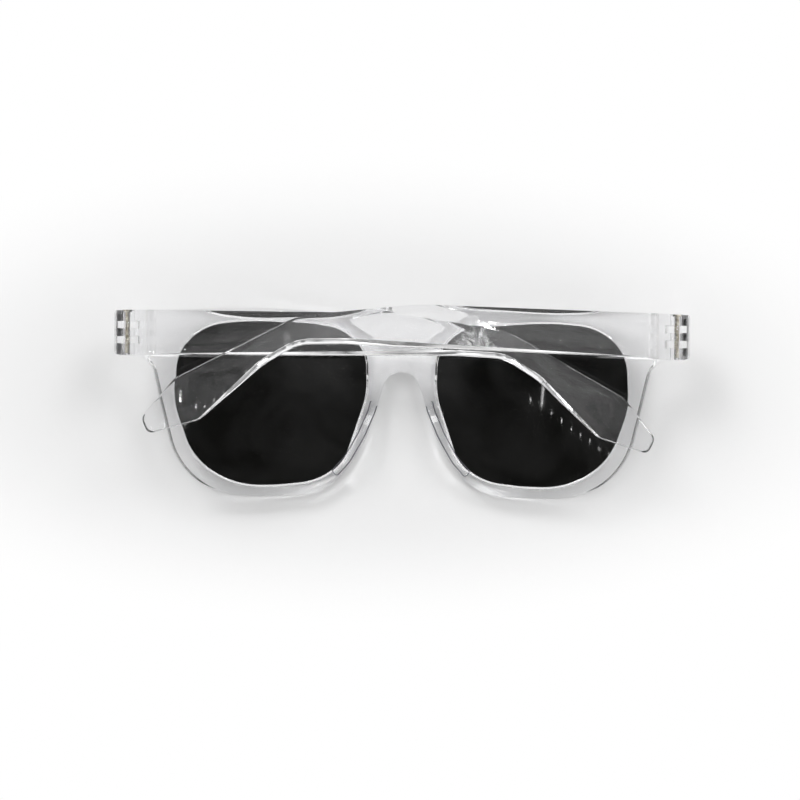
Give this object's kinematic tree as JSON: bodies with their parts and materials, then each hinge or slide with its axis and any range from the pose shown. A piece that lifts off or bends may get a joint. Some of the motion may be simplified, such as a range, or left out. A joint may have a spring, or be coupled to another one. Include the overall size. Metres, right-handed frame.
{
  "type": "sunglasses",
  "caption": "Polarized sunglasses with a clear moulded plastic frame, moulded nose pads, dark laminated lenses and side arms folded behind the front on screwed hinges.",
  "frame": {"origin": "on the table under the middle of the folded sunglasses, which lie on their front", "axes": "+X along the front towards the wearer's right, +Y up the wearer's face towards the brow, +Z from the front surface back towards the wearer"},
  "size_m": [0.1452, 0.0494, 0.0236],
  "materials": {
    "frame_plastic": "clear, polished",
    "temple_plastic": "clear, polished",
    "lens_plastic": "smoked, polished",
    "polarizing_film": "near black film",
    "hinge_steel": "turned"
  },
  "bodies": {
    "front": {"front_frame": "frame_plastic", "left_lens_outer_layer": "lens_plastic", "left_polarizing_film": "polarizing_film", "left_lens_inner_layer": "lens_plastic", "right_lens_outer_layer": "lens_plastic", "right_polarizing_film": "polarizing_film", "right_lens_inner_layer": "lens_plastic"},
    "left_arm": {"left_temple": "temple_plastic", "left_hinge_screw": "hinge_steel"},
    "right_arm": {"right_temple": "temple_plastic", "right_hinge_screw": "hinge_steel"}
  },
  "joints": [
    {"name": "left_hinge", "type": "hinge", "parent": "front", "child": "left_arm", "pos_m": [-0.0695, 0.0173, 0.0175], "axis": [0, -1, 0], "range_deg": [0, 91.5]},
    {"name": "right_hinge", "type": "hinge", "parent": "front", "child": "right_arm", "pos_m": [0.0695, 0.0173, 0.0175], "axis": [0, 1, 0], "range_deg": [0, 88.6]}
  ]
}
